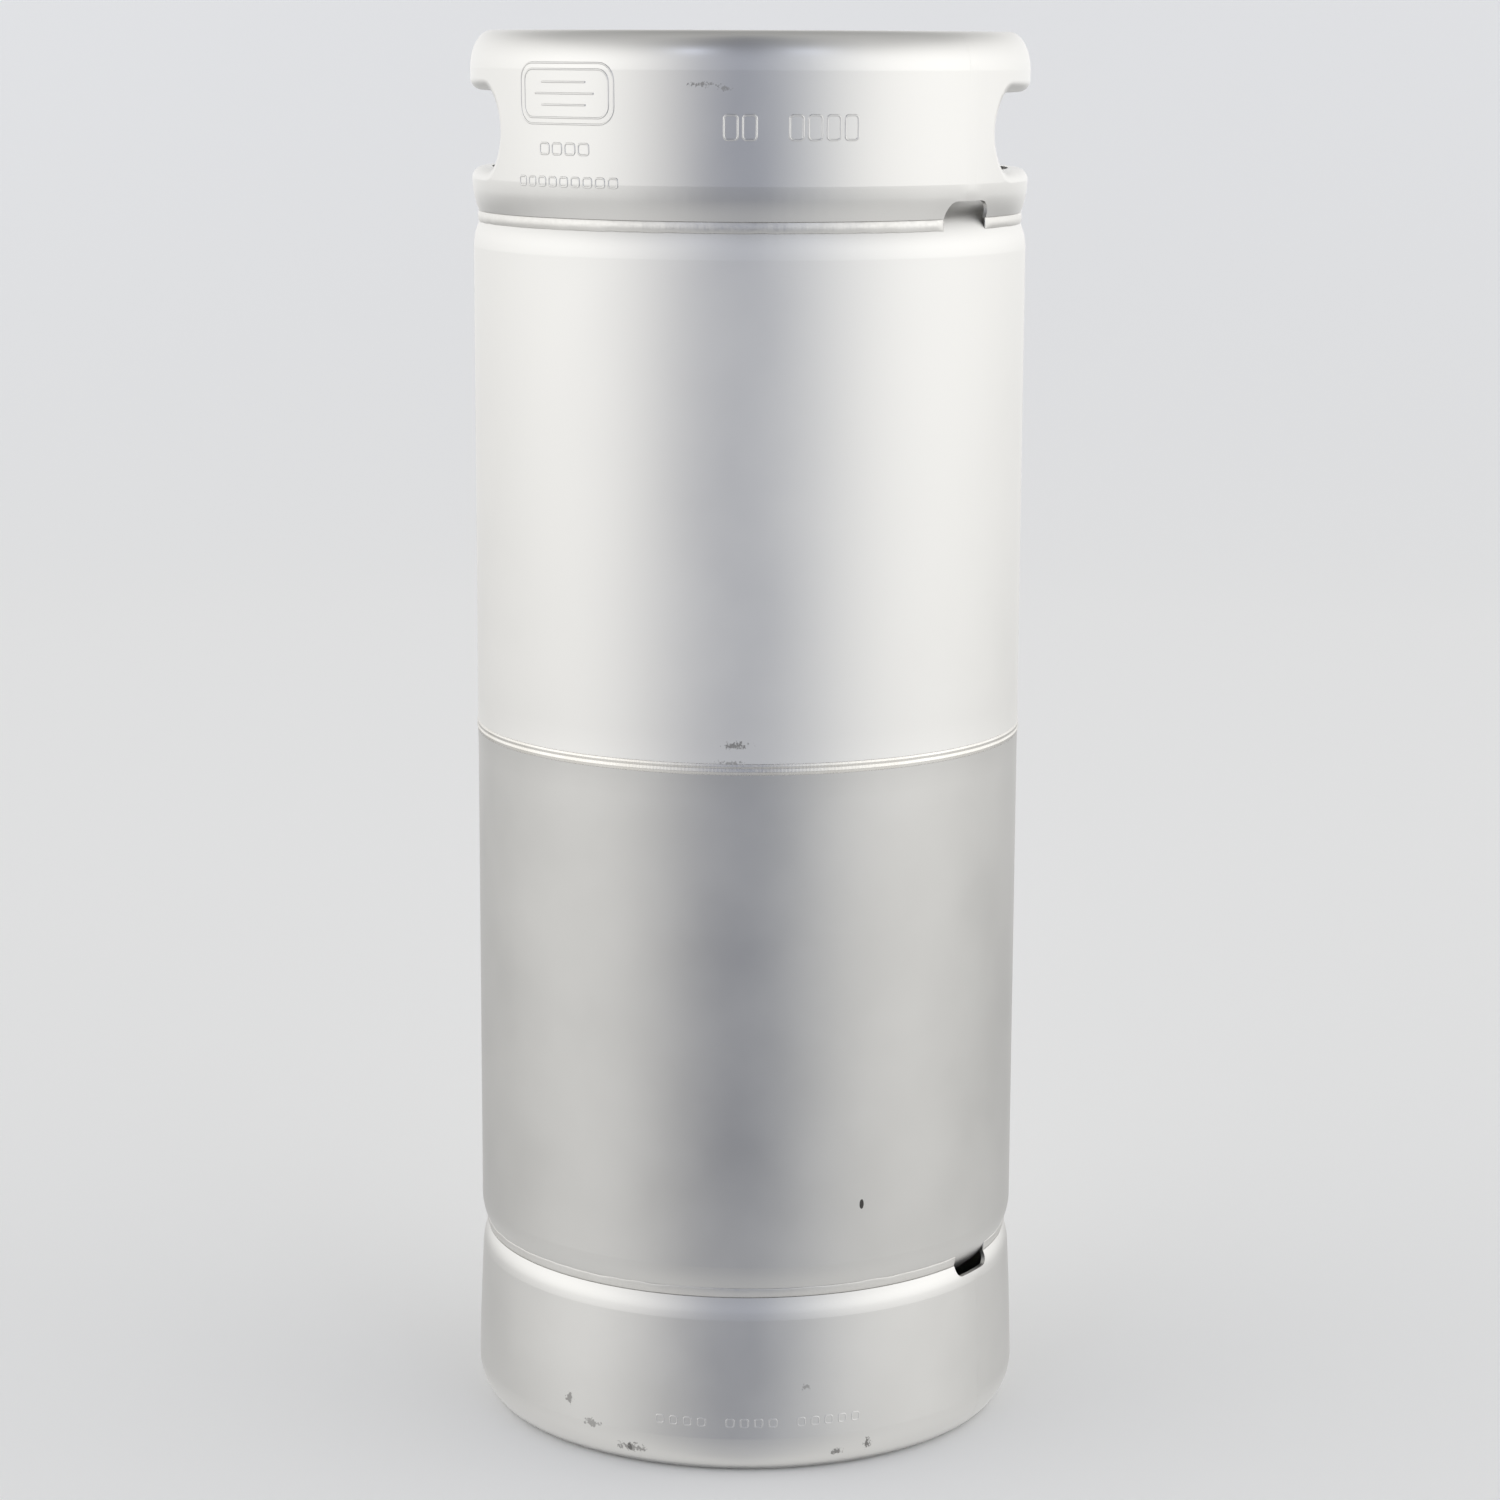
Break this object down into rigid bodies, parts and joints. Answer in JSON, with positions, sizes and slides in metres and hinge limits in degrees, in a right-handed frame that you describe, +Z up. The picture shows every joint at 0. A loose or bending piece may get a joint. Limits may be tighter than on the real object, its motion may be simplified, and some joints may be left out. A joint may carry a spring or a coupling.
{
  "type": "beer keg",
  "caption": "Slim stainless beer keg with a rolled collar and hand holes, a foot ring, and a two-part valve and down tube that a coupler pushes open.",
  "frame": {"origin": "centre of the foot ring's contact circle, on the floor", "axes": "+Z up along the keg's axis, front towards -Y, hand holes on +X and -X"},
  "size_m": [0.2363, 0.2362, 0.594],
  "materials": {
    "rolled_sheet": "satin pickled stainless sheet",
    "drawn_sheet": "satin deep-drawn stainless sheet",
    "weld": "pickled weld bead",
    "machined": "fine-turned stainless",
    "pressed_steel": "plain pressed stainless",
    "spring_steel": "bright drawn wire",
    "ball_steel": "polished",
    "seal_rubber": "smooth black elastomer"
  },
  "bodies": {
    "keg": {"top_chime": "rolled_sheet", "top_chime_seam_weld": "weld", "top_chime_weld": "weld", "upper_shell": "drawn_sheet", "mid_seam_weld": "weld", "lower_shell": "drawn_sheet", "bottom_chime_weld": "weld", "bottom_chime": "rolled_sheet", "bottom_chime_seam_weld": "weld", "neck": "machined", "neck_weld": "weld", "valve_body": "machined", "body_gasket": "seal_rubber", "retaining_ring": "spring_steel", "spring_cage": "pressed_steel", "gas_spring": "spring_steel"},
    "spear": {"spear_head": "pressed_steel", "down_tube": "pressed_steel", "gas_seal": "seal_rubber", "ball_spring_seat": "pressed_steel", "ball_spring": "spring_steel"},
    "ball": {"liquid_ball": "ball_steel"}
  },
  "joints": [
    {"name": "gas_valve_slide", "type": "slide", "parent": "keg", "child": "spear", "axis": [0, 0, -1], "range_m": [0, 0.007], "stiffness_N_per_m": 9000, "springref_m": -0.008, "deforming": ["gas_spring"]},
    {"name": "liquid_ball_slide", "type": "slide", "parent": "spear", "child": "ball", "axis": [0, 0, -1], "range_m": [0, 0.004], "stiffness_N_per_m": 700, "springref_m": -0.004, "deforming": ["ball_spring"]}
  ]
}
